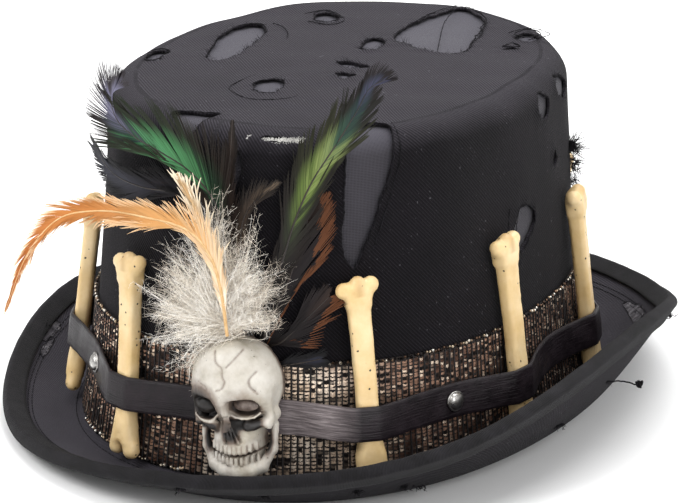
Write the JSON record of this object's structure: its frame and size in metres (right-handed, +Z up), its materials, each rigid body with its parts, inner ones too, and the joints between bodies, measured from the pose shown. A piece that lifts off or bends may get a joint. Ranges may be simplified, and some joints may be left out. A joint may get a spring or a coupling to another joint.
{
  "type": "voodoo style costume top hat with bones, skull and feathers",
  "caption": "Worn black costume top hat with a rolled brim, torn cloth, a glittering net band, a studded strap over bones, a small skull and a feather spray.",
  "frame": {"origin": "middle of the head opening, on the plane that the brim rests on", "axes": "+Z up through the crown, -Y to the front where the skull sits, +X to the wearer's left"},
  "size_m": [0.2459, 0.3013, 0.1576],
  "materials": {
    "black_cloth": "matt, worn",
    "grey_underlayer": "matt",
    "binding_tape": "matt, ribbed",
    "net_band": "glittering copper and black",
    "strap_leatherette": "satin",
    "stud_metal": "polished",
    "bone_plastic": "satin, speckled",
    "skull_plastic": "satin, shaded black",
    "coque_green": "glossy green sheen",
    "coque_dark": "glossy dark brown",
    "hackle_orange": "silky",
    "hackle_cream": "silky",
    "down": "fluffy"
  },
  "bodies": {
    "root": {"crown_cover": "black_cloth", "crown_underlayer": "grey_underlayer", "brim": "black_cloth", "brim_binding": "binding_tape", "hat_band": "net_band", "strap": "strap_leatherette", "bone_1": "bone_plastic", "bone_2": "bone_plastic", "bone_3": "bone_plastic", "bone_4": "bone_plastic", "bone_5": "bone_plastic", "bone_6": "bone_plastic", "bone_7": "bone_plastic", "bone_8": "bone_plastic", "bone_9": "bone_plastic", "stud_1": "stud_metal", "stud_2": "stud_metal", "stud_3": "stud_metal", "stud_4": "stud_metal", "stud_5": "stud_metal", "stud_6": "stud_metal", "skull": "skull_plastic", "coque_green_left": "coque_green", "coque_green_right": "coque_green", "coque_dark_left": "coque_dark", "coque_brown_centre": "coque_dark", "coque_forked_centre": "coque_dark", "coque_rust_right": "coque_dark", "coque_short_right": "coque_dark", "coque_small_right": "coque_dark", "hackle_orange": "hackle_orange", "hackle_cream": "hackle_cream", "down_plume": "down"}
  },
  "joints": []
}
